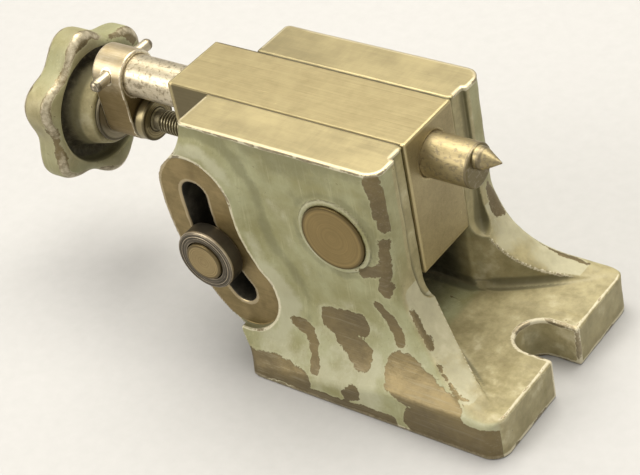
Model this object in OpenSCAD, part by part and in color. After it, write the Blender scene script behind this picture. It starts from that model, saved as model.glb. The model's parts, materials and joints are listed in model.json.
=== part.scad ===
// Tailstock for a dividing head: a tilting centre block between two cheeks, an offset
// centre point, and a quill fed by a star knob and an offset screw.
// X runs along the quill toward the centre point, Z is up, Y = 0 is the middle plane.

/* [Base] */
// Length of the base along X
base_l = 120; // [90:1:200]
// Width of the base across the foot
base_w = 102.8; // [80:0.2:160]
// Thickness of the foot
base_t = 19; // [12:0.5:30]
// Radius of the front corners in plan
base_corner_r = 8; // [2:0.5:16]
// Radius of the rear corners in plan
rear_corner_r = 4; // [1:0.5:12]
// Width of the open bolt slots
slot_w = 19.4; // [12:0.2:26]
// Depth of the open bolt slots from the end face
slot_depth = 21; // [12:0.5:34]

/* [Body] */
// Height of the machined top above the base face
body_h = 111; // [95:1:180]
// Thickness of each cheek
cheek_t = 20.8; // [14:0.2:32]
// Length of the cheeks at the top
cheek_l = 94; // [70:1:150]
// Front face of the cheeks from the middle of the base
cheek_front_x = 12.4; // [4:0.2:24]
// Outer vertical corner radius of the cheeks at the front
cheek_corner_r = 6.5; // [1:0.5:12]
// Height where the sides start to spread
flare_top_z = 46; // [30:1:70]
// Height where the sides are at full width
flare_foot_z = 17; // [6:0.5:25]
// Radius of the sweep from the cheeks down to the foot
gusset_r = 45; // [25:1:70]
// Width of the milled strip beside the channel
strip_w = 8.3; // [2:0.1:14]
// How far the milled strip is set back from the cheek front
strip_back = 1.9; // [0.5:0.1:4]
// Height where the milled strip ends
strip_z = 44; // [30:1:80]
// Length of the pocket that widens toward the foot
pocket_l = 30; // [10:1:45]
// Extra half width of the pocket at its far end
pocket_spread = 11.3; // [2:0.1:20]

/* [Centre block] */
// Width of the block
block_w = 32.4; // [24:0.2:60]
// Length of the block
block_l = 113.5; // [80:0.5:180]
// Height of the block
block_h = 60.5; // [50:0.5:90]
// Front face of the block from the middle of the base
block_front_x = 11; // [2:0.5:20]
// Bevel on the long edges of the block
block_bevel = 0.6; // [0.2:0.1:2]
// Radius of the lug that carries the clamp bolt
lug_r = 14; // [10:0.5:20]
// Side clearance of the block in the channel
side_gap = 0.05; // [0.02:0.01:0.2]

/* [Pivot] */
// Pivot axis from the middle of the base
pivot_x = -12.5; // [-30:0.5:0]
// Pivot axis below the machined top
pivot_drop = 34.5; // [30:0.5:45]
// Radius of the pivot pin
pivot_r = 8; // [5:0.25:8.5]
// Radius of the pivot head disc
pivot_head_r = 14.3; // [11:0.1:20]
// Thickness of the pivot head disc
pivot_head_t = 6; // [3:0.5:10]
// How far the disc stands proud of the cheek
pivot_head_proud = 0.8; // [0.2:0.1:3]
// Width of the cast ring around the disc
pivot_ring_w = 2.4; // [1:0.1:5]
// Across flats of the pivot nut
pivot_nut_af = 22; // [16:0.5:30]
// Thickness of the pivot nut
pivot_nut_t = 8; // [5:0.5:14]
// Thickness of the pivot washer
pivot_washer_t = 2.5; // [1.5:0.1:5]
// Running clearance of the pin in the block, on the radius
pivot_clear = 0.03; // [0.01:0.01:0.1]

/* [Tilt slot and clamp] */
// Radius of the slot centre line about the pivot
arc_r = 66; // [50:0.5:90]
// Angle of the bolt below level at rest
arc_rest = 21.5; // [10:0.5:35]
// Angle of the upper slot end
arc_top = -1.5; // [-8:0.5:5]
// Angle of the lower slot end
arc_low = 38.5; // [30:0.5:50]
// Width of the slot
arc_slot_w = 12.7; // [9:0.1:17]
// Half width of the raised boss around the slot
boss_half_w = 18; // [12:0.5:24]
// Height of the boss above the cheek
boss_proud = 2.7; // [1:0.1:6]
// Radius of the clamp bolt
clamp_r = 6; // [4:0.5:8]
// Radius of the round head of the clamp bolt
clamp_head_r = 8.5; // [7:0.1:11]
// Outer radius of the clamp ring
clamp_ring_r = 13.5; // [11:0.1:17]
// Thickness of the clamp ring
clamp_ring_t = 7.6; // [4:0.1:12]
// Thickness of the head of the clamp bolt
clamp_head_t = 4; // [2:0.1:6]
// Depth of the seat for the head in the clamp ring
clamp_seat_t = 3; // [1.5:0.1:5]
// Thickness of the washer behind the clamp nut
clamp_washer_t = 2.5; // [1.5:0.1:5]
// Across flats of the clamp nut
clamp_nut_af = 19; // [13:0.5:27]
// Thickness of the clamp nut
clamp_nut_t = 10; // [6:0.5:16]

/* [Quill] */
// Radius of the quill
quill_r = 9; // [7:0.1:12]
// Quill axis below the machined top
quill_drop = 14.5; // [13:0.5:22]
// End of the full quill diameter from the middle of the base
quill_front_x = 31.5; // [16:0.1:50]
// Radius of the offset centre
point_r = 4.7; // [3:0.1:6]
// Offset of the centre above the quill axis
point_up = 4.2; // [2:0.1:5]
// Straight length of the offset centre
point_l = 2.6; // [1:0.1:20]
// Included angle of the centre
point_angle = 60; // [45:1:90]
// Running clearance of the quill in the block, on the radius
quill_clear = 0.03; // [0.01:0.01:0.1]

/* [Yoke and cross pin] */
// Front face of the yoke behind the block
yoke_gap = 33.3; // [28:0.1:50]
// Thickness of the yoke
yoke_t = 15.8; // [10:0.1:24]
// Radius of the yoke around the quill
yoke_top_r = 10.9; // [10:0.1:16]
// Radius of the yoke around the screw
yoke_low_r = 9.9; // [8.5:0.1:14]
// Radius of the cross pin
cross_pin_r = 2.6; // [1.5:0.1:3.5]
// Length of the cross pin
cross_pin_l = 38; // [24:0.5:46]
// Height of the cross pin above the quill axis
cross_pin_up = 3; // [0:0.1:4]

/* [Feed screw] */
// Distance from the quill axis down to the screw axis
screw_drop = 21; // [19:0.5:30]
// Radius of the thread
screw_r = 5; // [4:0.25:6]
// Radius of the journal in the yoke
journal_r = 6; // [5:0.25:8]
// Length of thread engaged in the block at rest
screw_engaged = 35; // [20:1:60]
// Depth of the blind hole ahead of the screw
screw_ahead = 29; // [27:1:40]
// Radius of the round collar ahead of the yoke
collar_r = 9.5; // [8:0.1:13]
// Thickness of the round collar
collar_t = 5.4; // [3:0.1:8]
// Radius of the pin through the collar
collar_pin_r = 1.2; // [0.8:0.1:2]
// Radius of the thrust washer behind the yoke
thrust_r = 14; // [10:0.5:18]
// Thickness of the thrust washer
thrust_t = 2; // [1:0.1:4]
// Outer radius of the threaded bush in the block
bush_r = 8; // [7:0.1:8.6]
// Length of the threaded bush
bush_l = 30; // [15:1:50]
// Running clearance of the journal and thread, on the radius
screw_clear = 0.03; // [0.01:0.01:0.1]

/* [Star knob] */
// Radius over the lobes
knob_r = 36; // [25:0.5:55]
// Thickness of the rim
knob_t = 15; // [10:0.5:26]
// Radius of each lobe
lobe_r = 9.5; // [6:0.5:14]
// Radius of the round core between the lobes
core_r = 30; // [20:0.5:46]
// Edge rounding of the rim
knob_edge_r = 4; // [1:0.5:6]
// Radius of the dish in the face toward the yoke
dish_r = 26; // [18:0.5:38]
// Depth of the dish
dish_t = 9; // [3:0.5:12]
// Radius of the hub at its face
hub_r = 15.5; // [11:0.5:20]
// Radius of the hub at the bottom of the dish
hub_root_r = 20; // [13:0.5:26]
// How far the hub stands out past the rim
hub_out = 7.6; // [2:0.1:14]
// Angle of the first lobe
lobe_start = 33; // [0:1:60]
// Side of the square key in the hub
key_side = 3; // [2:0.5:4]
// Length of the key
key_l = 12; // [6:0.5:18]
// Radius of the knob washer
knob_washer_r = 10; // [8:0.5:15]
// Thickness of the knob washer
knob_washer_t = 2.5; // [1.5:0.1:4]
// Across flats of the knob nut
knob_nut_af = 16; // [13:0.5:22]
// Thickness of the knob nut
knob_nut_t = 8; // [5:0.5:12]

/* [Hidden] */
$fn = 64;
lobe_count = 6;
face_gap = 0.05;
pin_clear = 0.02;
bolt_clear = 0.1;
nut_clear = 0.06;
seat_clear = 0.2;
thread_end_l = 3;
over = 1;
end_swell = 1.027;
nut_bevel_share = 0.12;
channel_y = block_w / 2 + side_gap;
cheek_y = channel_y + cheek_t;
boss_y = cheek_y + boss_proud;
base_y = base_w / 2;
base_front_x = base_l / 2;
base_rear_x = -base_l / 2;
cheek_rear_x = cheek_front_x - cheek_l;
block_rear_x = block_front_x - block_l;
block_low_z = body_h - block_h;
pivot_z = body_h - pivot_drop;
quill_z = body_h - quill_drop;
screw_z = quill_z - screw_drop;
bolt_x = pivot_x - arc_r * cos(arc_rest);
bolt_z = pivot_z - arc_r * sin(arc_rest);
flare_h = flare_top_z - flare_foot_z;
flare_out = base_y - cheek_y;
flare_r = (flare_out * flare_out + flare_h * flare_h) / (2 * flare_out);
yoke_front_x = block_rear_x - yoke_gap;
yoke_rear_x = yoke_front_x - yoke_t;
hub_face_x = yoke_rear_x - face_gap - thrust_t - face_gap;
rim_front_x = hub_face_x - hub_out;
knob_back_x = rim_front_x - knob_t;
knob_washer_x = knob_back_x - face_gap - knob_washer_t;
knob_nut_x = knob_washer_x - face_gap - knob_nut_t;
screw_end_x = knob_nut_x - thread_end_l;
screw_tip_x = block_rear_x + screw_engaged;
collar_seat_r = (screw_r + journal_r) / 2;
point_end_x = quill_front_x + point_l;
cross_pin_x = yoke_rear_x + yoke_t / 2;
cross_pin_z = quill_z + cross_pin_up;
cone_l = point_r / tan(point_angle / 2);
screw_bore_end_x = screw_tip_x + screw_ahead;
clamp_near_y = -boss_y - face_gap - clamp_ring_t;
clamp_washer_y = boss_y + face_gap;
clamp_nut_y = clamp_washer_y + clamp_washer_t + face_gap;
bolt_end_y = clamp_nut_y + clamp_nut_t + thread_end_l;
pivot_washer_y = cheek_y + pivot_head_proud + face_gap;
pivot_nut_y = pivot_washer_y + pivot_washer_t + face_gap;
pivot_end_y = pivot_nut_y + pivot_nut_t + thread_end_l;

// Round bar along X
module rod_x(r, x0, x1, z, y = 0) {
  translate([x0, y, z])
    rotate([0, 90, 0])
      cylinder(r = r, h = x1 - x0);
}

// Round bar along Y
module rod_y(r, y0, y1, x, z) {
  translate([x, y1, z])
    rotate([90, 0, 0])
      cylinder(r = r, h = y1 - y0);
}

// Extrude an XZ outline along Y
module along_y(y0, y1) {
  translate([0, y1, 0])
    rotate([90, 0, 0])
      linear_extrude(height = y1 - y0)
        children();
}

// Extrude a YZ outline along X
module along_x(x0, x1) {
  translate([x0, 0, 0])
    rotate([90, 0, 90])
      linear_extrude(height = x1 - x0)
        children();
}

// A box given by its low and high corners
module box(low, high) {
  translate(low)
    cube(high - low);
}

// A curved slot outline about the pivot, with round ends
module arc_outline(half_w) {
  reach = 2 * (arc_r + half_w);
  translate([pivot_x, pivot_z]) {
    intersection() {
      difference() {
        circle(r = arc_r + half_w);
        circle(r = arc_r - half_w);
      }
      polygon([[0, 0],
               [-reach * cos(arc_top), -reach * sin(arc_top)],
               [-reach * cos(arc_low), -reach * sin(arc_low)]]);
    }
    for (a = [arc_top, arc_low])
      translate([-arc_r * cos(a), -arc_r * sin(a)])
        circle(r = half_w * end_swell);
  }
}

// A hexagon nut along Y with bevelled corners
module hex_y(af, t, y0, x, z, bore) {
  corner_r = af / 2 / cos(30);
  bevel = af * nut_bevel_share;
  difference() {
    intersection() {
      translate([x, y0 + t, z])
        rotate([90, 0, 0])
          cylinder(r = corner_r, h = t, $fn = 6);
      translate([x, y0, z])
        rotate([-90, 0, 0])
          cylinder(r1 = corner_r + bevel, r2 = af / 2, h = t + bevel);
    }
    rod_y(bore, y0 - over, y0 + t + over, x, z);
  }
}

// A flat ring along Y
module ring_y(r, bore, t, y0, x, z) {
  difference() {
    rod_y(r, y0, y0 + t, x, z);
    rod_y(bore, y0 - over, y0 + t + over, x, z);
  }
}

// Plan of the base with round corners
module base_plan() {
  difference() {
    translate([base_rear_x, -base_y])
      square([base_l, base_w]);
    for (s = [-1, 1]) {
      corner_cut(base_front_x, s * base_y, -1, -s, base_corner_r);
      corner_cut(base_rear_x, s * base_y, 1, -s, rear_corner_r);
    }
  }
}

// Waste outside a round corner; dx and dy point into the plan
module corner_cut(x, y, dx, dy, r) {
  difference() {
    translate([x - (dx < 0 ? r : over), y - (dy < 0 ? r : over)])
      square([r + over, r + over]);
    translate([x + dx * r, y + dy * r])
      circle(r = r);
  }
}

// Side outline of the cheeks, the middle and the sweep down to the foot
module side_outline() {
  translate([cheek_rear_x, flare_top_z])
    square([cheek_l, body_h - flare_top_z]);
  translate([base_rear_x, 0])
    square([cheek_front_x - base_rear_x, flare_top_z + over]);
  difference() {
    translate([cheek_front_x - over, 0])
      square([gusset_r + over, base_t + gusset_r]);
    translate([cheek_front_x + gusset_r, base_t + gusset_r])
      circle(r = gusset_r);
  }
}

// Waste outside the spreading sides
module flare_waste() {
  for (s = [-1, 1]) {
    rod_x(flare_r, base_rear_x - base_l, base_front_x + over, flare_top_z,
          s * (cheek_y + flare_r));
    box([base_rear_x - base_l, s > 0 ? cheek_y : -base_y - over, flare_top_z],
        [base_front_x + over, s > 0 ? base_y + over : -cheek_y, body_h + over]);
  }
}

// Open slot for a table bolt, cut in from one end of the base
module bolt_slot(x_end, dir) {
  x_mid = x_end + dir * (slot_depth - slot_w / 2);
  translate([x_mid, 0, -over])
    cylinder(r = slot_w / 2, h = base_t + 2 * over);
  box([min(x_mid, x_end - dir * over), -slot_w / 2, -over],
      [max(x_mid, x_end - dir * over), slot_w / 2, base_t + over]);
}

// The cast body with its machined faces
module body() {
  pocket_x0 = cheek_front_x - strip_back - 2;
  pocket_x1 = pocket_x0 + pocket_l;
  pocket_y = channel_y + pocket_spread;
  color([0.55, 0.58, 0.45])
    difference() {
      union() {
        difference() {
          union() {
            linear_extrude(height = base_t)
              base_plan();
            along_y(-base_y, base_y)
              side_outline();
          }
          flare_waste();
          for (s = [-1, 1])
            translate([0, 0, base_t + gusset_r - over])
              linear_extrude(height = body_h)
                corner_cut(cheek_front_x, s * cheek_y, -1, -s, cheek_corner_r);
        }
        along_y(-boss_y, boss_y)
          arc_outline(boss_half_w);
        rod_y(pivot_head_r + pivot_ring_w, -cheek_y - pivot_head_proud,
              cheek_y + pivot_head_proud, pivot_x, pivot_z);
      }
      // corners of the base in plan
      translate([0, 0, -over])
        linear_extrude(height = base_t + gusset_r)
          for (s = [-1, 1])
            corner_cut(base_front_x, s * base_y, -1, -s, base_corner_r);
      // the boss faces are cut flat where the sides spread past them
      for (s = [-1, 1])
        along_y(s > 0 ? boss_y : -base_y - over, s > 0 ? base_y + over : -boss_y)
          arc_outline(boss_half_w);
      // channel for the block, open at the top and at both ends
      box([cheek_rear_x - base_l, -channel_y, base_t],
          [base_front_x + over, channel_y, body_h + over]);
      // pocket that widens toward the foot
      translate([0, 0, base_t])
        linear_extrude(height = body_h)
          polygon([[pocket_x0, -channel_y], [pocket_x1, -pocket_y],
                   [base_front_x + over, -base_y], [base_front_x + over, base_y],
                   [pocket_x1, pocket_y], [pocket_x0, channel_y]]);
      // milled strips beside the channel
      box([cheek_front_x - strip_back, -channel_y - strip_w, strip_z],
          [base_front_x + over, channel_y + strip_w, body_h + over]);
      bolt_slot(base_front_x, -1);
      bolt_slot(base_rear_x, 1);
      along_y(-base_y - over, base_y + over)
        arc_outline(arc_slot_w / 2);
      rod_y(pivot_r + pivot_clear, -base_y, base_y, pivot_x, pivot_z);
      rod_y(pivot_head_r + pin_clear, -base_y, -cheek_y + pivot_head_t - pivot_head_proud,
            pivot_x, pivot_z);
    }
}

// The tilting centre block
module centre_block() {
  half = block_w / 2;
  b = block_bevel;
  color([0.70, 0.66, 0.50])
    difference() {
      union() {
        along_x(block_rear_x, block_front_x)
          polygon([[-half, block_low_z + b], [-half + b, block_low_z],
                   [half - b, block_low_z], [half, block_low_z + b],
                   [half, body_h - b], [half - b, body_h],
                   [-half + b, body_h], [-half, body_h - b]]);
        rod_y(lug_r, -half, half, bolt_x, bolt_z);
      }
      rod_x(quill_r + quill_clear, block_rear_x - over, block_front_x + over, quill_z);
      rod_x(bush_r + pin_clear, block_rear_x - over, block_rear_x + bush_l, screw_z);
      rod_x(screw_r + 1, block_rear_x, screw_bore_end_x, screw_z);
      rod_y(pivot_r + pivot_clear, -block_w, block_w, pivot_x, pivot_z);
      rod_y(clamp_r + pin_clear, -block_w, block_w, bolt_x, bolt_z);
    }
}

// Threaded bush for the feed screw
module feed_bush() {
  color([0.72, 0.58, 0.30])
    difference() {
      rod_x(bush_r, block_rear_x, block_rear_x + bush_l - face_gap, screw_z);
      rod_x(screw_r + screw_clear, block_rear_x - over, block_rear_x + bush_l + over, screw_z);
    }
}

// The quill with its offset centre point
module quill() {
  color([0.80, 0.79, 0.75])
    difference() {
      union() {
        rod_x(quill_r, yoke_rear_x, quill_front_x, quill_z);
        rod_x(point_r, quill_front_x - over, point_end_x, quill_z + point_up);
        translate([point_end_x, 0, quill_z + point_up])
          rotate([0, 90, 0])
            cylinder(r1 = point_r, r2 = 0, h = cone_l);
      }
      rod_y(cross_pin_r + pin_clear, -quill_r - over, quill_r + over, cross_pin_x, cross_pin_z);
    }
}

// The yoke that joins the quill and the feed screw
module yoke() {
  lean = (yoke_top_r - yoke_low_r) / screw_drop;
  side = sqrt(1 - lean * lean);
  color([0.62, 0.55, 0.42])
    difference() {
      along_x(yoke_rear_x, yoke_front_x)
        union() {
          translate([0, quill_z])
            circle(r = yoke_top_r);
          translate([0, screw_z])
            circle(r = yoke_low_r);
          polygon([[-yoke_top_r * side, quill_z + yoke_top_r * lean],
                   [-yoke_low_r * side, screw_z + yoke_low_r * lean],
                   [yoke_low_r * side, screw_z + yoke_low_r * lean],
                   [yoke_top_r * side, quill_z + yoke_top_r * lean]]);
        }
      rod_x(quill_r + pin_clear, yoke_rear_x - over, yoke_front_x + over, quill_z);
      rod_x(journal_r + screw_clear, yoke_rear_x - over, yoke_front_x + over, screw_z);
      rod_y(cross_pin_r + pin_clear, -base_y, base_y, cross_pin_x, cross_pin_z);
    }
}

// The pin through the yoke and the quill
module cross_pin() {
  straight = cross_pin_l / 2 - cross_pin_r;
  color([0.82, 0.80, 0.74])
    union() {
      rod_y(cross_pin_r, -straight, straight, cross_pin_x, cross_pin_z);
      for (s = [-1, 1])
        translate([cross_pin_x, s * straight, cross_pin_z])
          sphere(r = cross_pin_r);
    }
}

// The feed screw with its journal and the seat of the knob
module feed_screw() {
  key_x = (hub_face_x + knob_back_x) / 2;
  color([0.48, 0.46, 0.42])
    difference() {
      union() {
        rod_x(screw_r, yoke_front_x, screw_tip_x, screw_z);
        rod_x(collar_seat_r, yoke_front_x - over, yoke_front_x + face_gap + collar_t, screw_z);
        rod_x(journal_r, knob_back_x, yoke_front_x, screw_z);
        rod_x(screw_r, screw_end_x, knob_back_x + over, screw_z);
      }
      box([key_x - key_l / 2, -key_side / 2, screw_z + journal_r - key_side / 2],
          [key_x + key_l / 2, key_side / 2, screw_z + journal_r + over]);
      rod_z(collar_pin_r + pin_clear, screw_z - collar_r - over, screw_z + collar_r + over);
    }
}

// Round bar along Z in the plane of the collar pin
module rod_z(r, z0, z1) {
  translate([yoke_front_x + face_gap + collar_t / 2, 0, z0])
    cylinder(r = r, h = z1 - z0);
}

// The round collar ahead of the yoke
module thrust_collar() {
  x0 = yoke_front_x + face_gap;
  color([0.66, 0.63, 0.50])
    difference() {
      rod_x(collar_r, x0, x0 + collar_t, screw_z);
      rod_x(collar_seat_r + pin_clear, x0 - over, x0 + collar_t + over, screw_z);
      rod_z(collar_pin_r + pin_clear, screw_z - collar_r - over, screw_z + collar_r + over);
    }
}

// The pin that holds the collar on the screw
module collar_pin() {
  trim = face_gap * 2;
  color([0.75, 0.74, 0.70])
    rod_z(collar_pin_r, screw_z - collar_r + trim, screw_z + collar_r - trim);
}

// The thrust washer between the yoke and the hub
module thrust_washer() {
  x0 = hub_face_x + face_gap;
  color([0.58, 0.54, 0.40])
    difference() {
      rod_x(thrust_r, x0, x0 + thrust_t, screw_z);
      rod_x(journal_r + seat_clear, x0 - over, x0 + thrust_t + over, screw_z);
    }
}

// Plan of the knob: a round core and its lobes
module lobes() {
  circle(r = core_r);
  for (i = [0 : lobe_count - 1])
    rotate(lobe_start + i * 360 / lobe_count)
      translate([knob_r - lobe_r, 0])
        circle(r = lobe_r);
}

// Half section of the knob envelope with rounded edges
module knob_section() {
  e = knob_edge_r;
  square([knob_r - e, knob_t]);
  translate([0, e])
    square([knob_r, knob_t - 2 * e]);
  for (h = [e, knob_t - e])
    translate([knob_r - e, h])
      circle(r = e);
}

// The star knob, dished on the face toward the yoke
module star_knob() {
  key_x = (hub_face_x + knob_back_x) / 2;
  color([0.52, 0.56, 0.40])
    difference() {
      union() {
        difference() {
          intersection() {
            along_x(knob_back_x, rim_front_x)
              translate([0, screw_z])
                lobes();
            translate([knob_back_x, 0, screw_z])
              rotate([0, 90, 0])
                rotate_extrude()
                  intersection() {
                    knob_section();
                    square([knob_r, knob_t]);
                  }
          }
          rod_x(dish_r, rim_front_x - dish_t, rim_front_x + over, screw_z);
        }
        translate([rim_front_x - dish_t - over, 0, screw_z])
          rotate([0, 90, 0])
            cylinder(r1 = hub_root_r, r2 = hub_r, h = dish_t + over + hub_out);
      }
      rod_x(journal_r + pin_clear, knob_back_x - over, hub_face_x + over, screw_z);
      box([key_x - key_l / 2, -key_side / 2, screw_z],
          [key_x + key_l / 2, key_side / 2, screw_z + journal_r + key_side / 2 + face_gap]);
    }
}

// The key between the hub and the screw
module knob_key() {
  key_x = (hub_face_x + knob_back_x) / 2;
  half = key_side / 2 - pin_clear;
  len = key_l / 2 - pin_clear;
  color([0.60, 0.58, 0.54])
    box([key_x - len, -half, screw_z + journal_r - key_side / 2 + pin_clear],
        [key_x + len, half, screw_z + journal_r + key_side / 2]);
}

// The washer behind the knob
module knob_washer() {
  color([0.66, 0.64, 0.60])
    difference() {
      rod_x(knob_washer_r, knob_washer_x, knob_washer_x + knob_washer_t, screw_z);
      rod_x(screw_r + seat_clear, knob_washer_x - over, knob_back_x, screw_z);
    }
}

// The nut that holds the knob
module knob_nut() {
  corner_r = knob_nut_af / 2 / cos(30);
  bevel = knob_nut_af * nut_bevel_share;
  color([0.60, 0.58, 0.54])
    difference() {
      intersection() {
        translate([knob_nut_x, 0, screw_z])
          rotate([0, 90, 0])
            cylinder(r = corner_r, h = knob_nut_t, $fn = 6);
        translate([knob_nut_x - bevel, 0, screw_z])
          rotate([0, 90, 0])
            cylinder(r1 = knob_nut_af / 2, r2 = corner_r + bevel, h = knob_nut_t + bevel);
      }
      rod_x(screw_r + pin_clear, knob_nut_x - over, knob_washer_x, screw_z);
    }
}

// The pivot pin with its round head let into the near cheek
module pivot_pin() {
  head_y = -cheek_y - pivot_head_proud - pivot_head_proud;
  color([0.66, 0.58, 0.42])
    union() {
      rod_y(pivot_r, -cheek_y + pivot_head_t - 2 * pivot_head_proud - over,
            cheek_y + pivot_head_proud, pivot_x, pivot_z);
      rod_y(pivot_head_r, head_y, head_y + pivot_head_t, pivot_x, pivot_z);
      rod_y(pivot_r - 1, cheek_y, pivot_end_y, pivot_x, pivot_z);
    }
}

// The washer on the far end of the pivot pin
module pivot_washer() {
  color([0.62, 0.60, 0.56])
    ring_y(pivot_head_r, pivot_r - 1 + seat_clear, pivot_washer_t, pivot_washer_y,
           pivot_x, pivot_z);
}

// The nut on the far end of the pivot pin
module pivot_nut() {
  color([0.58, 0.56, 0.52])
    hex_y(pivot_nut_af, pivot_nut_t, pivot_nut_y, pivot_x, pivot_z, pivot_r - 1 + pin_clear);
}

// The clamp bolt through both slots and the block
module clamp_bolt() {
  head_y = clamp_near_y + clamp_seat_t - clamp_head_t;
  color([0.70, 0.64, 0.48])
    union() {
      rod_y(clamp_head_r, head_y, head_y + clamp_head_t, bolt_x, bolt_z);
      rod_y(clamp_r, head_y + clamp_head_t - over, bolt_end_y, bolt_x, bolt_z);
    }
}

// The thick ring under the head of the clamp bolt
module clamp_ring() {
  color([0.34, 0.32, 0.28])
    difference() {
      ring_y(clamp_ring_r, clamp_r + bolt_clear, clamp_ring_t, clamp_near_y, bolt_x, bolt_z);
      rod_y(clamp_head_r + seat_clear, clamp_near_y - over, clamp_near_y + clamp_seat_t,
            bolt_x, bolt_z);
    }
}

// The washer under the clamp nut
module clamp_washer() {
  color([0.60, 0.58, 0.54])
    ring_y(clamp_ring_r, clamp_r + bolt_clear, clamp_washer_t, clamp_washer_y,
           bolt_x, bolt_z);
}

// The nut that locks the tilt
module clamp_nut() {
  color([0.55, 0.53, 0.50])
    hex_y(clamp_nut_af, clamp_nut_t, clamp_nut_y, bolt_x, bolt_z, clamp_r + nut_clear);
}

body();
centre_block();
feed_bush();
quill();
yoke();
cross_pin();
feed_screw();
thrust_collar();
collar_pin();
thrust_washer();
star_knob();
knob_key();
knob_washer();
knob_nut();
pivot_pin();
pivot_washer();
pivot_nut();
clamp_bolt();
clamp_ring();
clamp_washer();
clamp_nut();
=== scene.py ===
import json
import math

import bpy
import numpy as np
from mathutils import Matrix, Vector

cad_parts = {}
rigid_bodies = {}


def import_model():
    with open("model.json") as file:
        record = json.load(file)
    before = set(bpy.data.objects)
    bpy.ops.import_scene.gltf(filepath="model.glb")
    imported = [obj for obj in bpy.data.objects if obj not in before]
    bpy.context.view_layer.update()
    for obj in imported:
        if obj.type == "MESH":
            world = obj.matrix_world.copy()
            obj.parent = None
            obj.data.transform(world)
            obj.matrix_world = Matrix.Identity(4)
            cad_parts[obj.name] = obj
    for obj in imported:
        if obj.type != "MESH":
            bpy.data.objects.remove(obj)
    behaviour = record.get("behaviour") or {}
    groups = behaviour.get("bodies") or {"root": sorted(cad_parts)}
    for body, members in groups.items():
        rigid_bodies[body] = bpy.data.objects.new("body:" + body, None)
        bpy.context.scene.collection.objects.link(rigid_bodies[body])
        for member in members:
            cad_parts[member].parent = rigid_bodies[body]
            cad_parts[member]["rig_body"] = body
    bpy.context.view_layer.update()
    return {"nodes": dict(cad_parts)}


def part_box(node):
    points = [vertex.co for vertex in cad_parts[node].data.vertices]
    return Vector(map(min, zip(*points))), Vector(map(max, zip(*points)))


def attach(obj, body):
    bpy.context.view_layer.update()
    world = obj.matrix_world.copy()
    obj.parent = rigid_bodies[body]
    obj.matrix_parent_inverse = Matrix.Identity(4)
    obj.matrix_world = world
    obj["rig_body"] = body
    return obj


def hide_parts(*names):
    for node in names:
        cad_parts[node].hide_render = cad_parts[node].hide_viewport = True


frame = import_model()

MM = 0.001


def node_box(node):
    """Lowest and highest corner of a CAD node, in mm."""
    low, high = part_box(node)
    return np.array(low) / MM, np.array(high) / MM


def middle(node):
    low, high = node_box(node)
    return (low + high) / 2


# ---------------------------------------------------------------- sizes from the frame (mm)
BODY_LOW, BODY_HIGH = node_box("body")
BLOCK_LOW, BLOCK_HIGH = node_box("centre_block")
QUILL_LOW, QUILL_HIGH = node_box("quill")
YOKE_LOW, YOKE_HIGH = node_box("yoke")
KNOB_LOW, KNOB_HIGH = node_box("star_knob")
SCREW_LOW, SCREW_HIGH = node_box("feed_screw")
TOP = BODY_HIGH[2]
PIVOT_X, _, PIVOT_Z = middle("pivot_washer")
BOLT_X, _, BOLT_Z = middle("clamp_washer")
SCREW_Z = middle("thrust_washer")[2]
QUILL_R = (QUILL_HIGH[1] - QUILL_LOW[1]) / 2
QUILL_Z = QUILL_LOW[2] + QUILL_R
BASE_Y = BODY_HIGH[1]
CHANNEL_Y = BLOCK_HIGH[1] + 0.05
CHEEK_Y = node_box("pivot_washer")[0][1] - 0.85
BOSS_Y = node_box("clamp_washer")[0][1] - 0.05
FOOT_Z = 19.0
FRONT_X = BODY_HIGH[0]
REAR_X = -FRONT_X
CHEEK_FRONT = BLOCK_HIGH[0] + 1.4
CHEEK_REAR = CHEEK_FRONT - 94.0
ARC_R = 66.0
ARC_TOP = math.radians(-1.5)
ARC_LOW = math.radians(38.5)
ARC_SLOT_R = 6.35
BOSS_R = 18.0
HEAD_R = 14.3
PIVOT_BORE_R = 8.05
FOOT_SLOT_R = 9.7
FOOT_SLOT_DEEP = 11.3
LEDGE_BACK = 1.9
LEDGE_W = 8.3
LEDGE_Z = 44.0
PIN_LOW, PIN_HIGH = node_box("cross_pin")
PIN_X, PIN_Z = (PIN_LOW[0] + PIN_HIGH[0]) / 2, (PIN_LOW[2] + PIN_HIGH[2]) / 2
PIN_R = (PIN_HIGH[2] - PIN_LOW[2]) / 2
RIM_X = KNOB_HIGH[0] - 7.6
QUILL_FRONT = 31.5
TIP_UP = 4.2
TIP_R = 4.68
TIP_STRAIGHT = 2.6
FEED_PITCH = 1.5
FEED_THREAD_R = 4.97
BOLT_PITCH = 1.75
BUSH_BORE_R = 8.02
LUG_R = 14.0


def unit(a):
    return np.clip(a, 0, 1)


def bell(a, middle, width):
    return np.exp(-((a - middle) / width) ** 2)


def shade(colour, share):
    return tuple(c * share for c in colour)


# ---------------------------------------------------------------- distance fields (mm)
def meet(a, b, r):
    """Intersection of two solids with a round edge of radius r."""
    return np.minimum(-r, np.maximum(a, b)) + np.hypot(np.maximum(a + r, 0), np.maximum(b + r, 0))


def join(a, b, r):
    """Union of two solids with a fillet of radius r."""
    return -meet(-a, -b, r)


def cut(a, b, r):
    """Solid a with solid b taken out, and a round edge of radius r."""
    return meet(a, -b, r)


def arc_distance(x, z):
    """Distance from the centre line of the curved clamp slot."""
    dx, dz = PIVOT_X - x, PIVOT_Z - z
    angle = np.arctan2(dz, dx)
    ends = [np.hypot(dx - ARC_R * math.cos(a), dz - ARC_R * math.sin(a)) for a in (ARC_TOP, ARC_LOW)]
    along = np.abs(np.hypot(dx, dz) - ARC_R)
    return np.where((angle > ARC_TOP) & (angle < ARC_LOW), along, np.minimum(*ends))


FLARE_TOP = 46.0
FLARE_OUT = BASE_Y - CHEEK_Y
GUSSET_R = 45.0


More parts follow.
